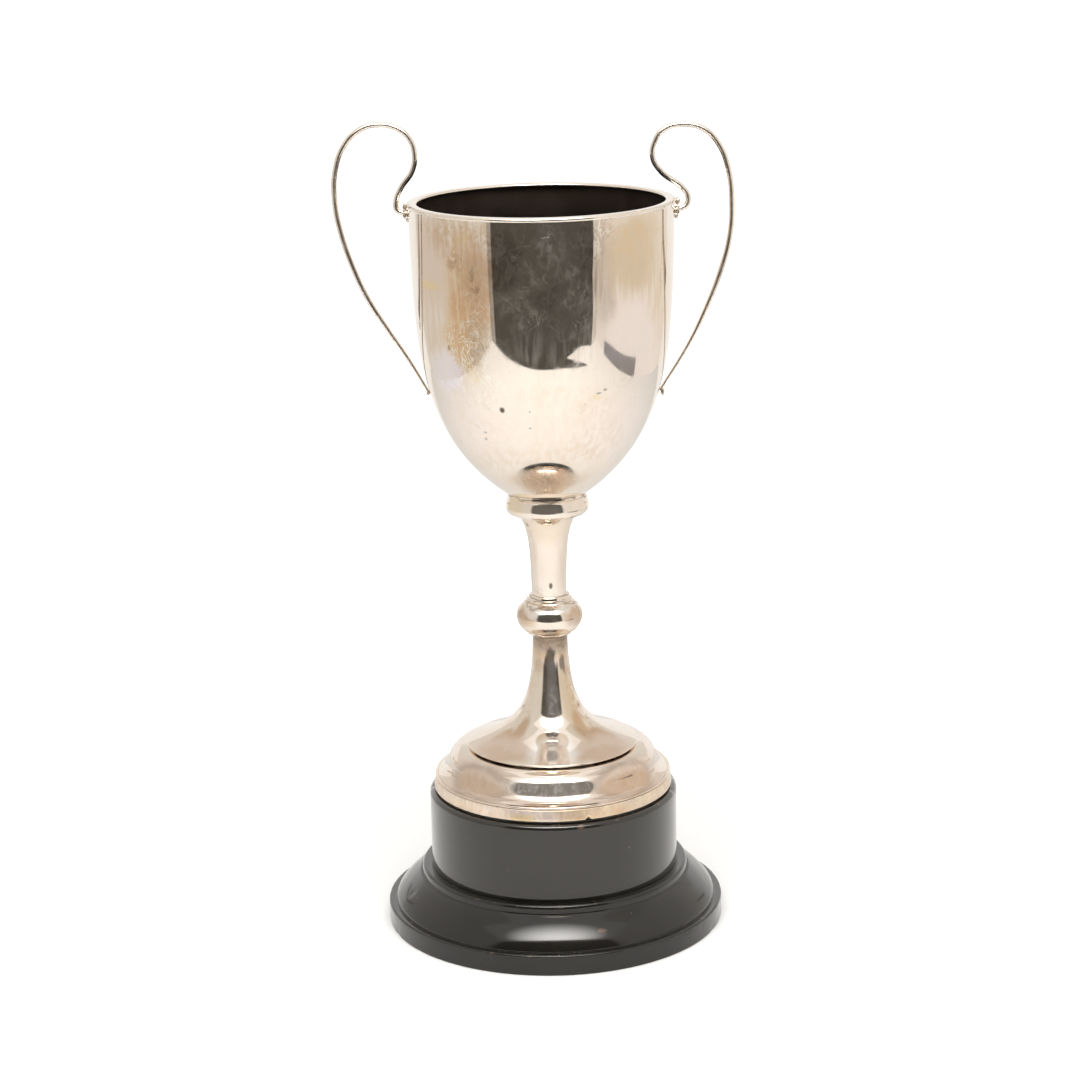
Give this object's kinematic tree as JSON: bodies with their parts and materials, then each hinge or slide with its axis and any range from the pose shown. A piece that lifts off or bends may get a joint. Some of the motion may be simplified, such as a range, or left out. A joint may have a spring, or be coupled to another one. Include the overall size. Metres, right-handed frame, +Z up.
{
  "type": "silver trophy cup",
  "caption": "Tall footed silver cup with scrolled wire handles and a knopped stem, standing on a black turned plinth that it lifts off.",
  "frame": {"origin": "centre of the baize pad's resting face, on the cup's axis, at the height of the table", "axes": "+Z up along the cup's axis; the handles lie in the XZ plane, handle_left towards -X; the front faces -Y"},
  "size_m": [0.1681, 0.1474, 0.3507],
  "materials": {
    "silver": "polished silver with light tarnish and fine scratches",
    "wire_silver": "polished round silver wire",
    "foot_silver": "polished silver, tarnished yellow at the foot ring",
    "black_wood": "ebonised turned wood, satin lacquer, worn at the edges",
    "baize": "dark green baize"
  },
  "bodies": {
    "plinth": {"plinth_drum": "black_wood", "plinth_base": "black_wood", "baize_pad": "baize"},
    "cup": {"bowl": "silver", "rim_wire": "silver", "handle_left": "wire_silver", "handle_right": "wire_silver", "handle_left_boss": "wire_silver", "handle_right_boss": "wire_silver", "collar_fillet": "silver", "collar_ring": "silver", "stem_upper": "silver", "knop_ring_upper": "silver", "knop": "silver", "knop_ring_lower": "silver", "stem_foot": "silver", "foot_dome": "foot_silver", "foot_skirt": "foot_silver"}
  },
  "joints": [
    {"name": "cup_lift", "type": "slide", "parent": "plinth", "child": "cup", "axis": [0, 0, 1], "range_m": [0, 0.04]}
  ]
}
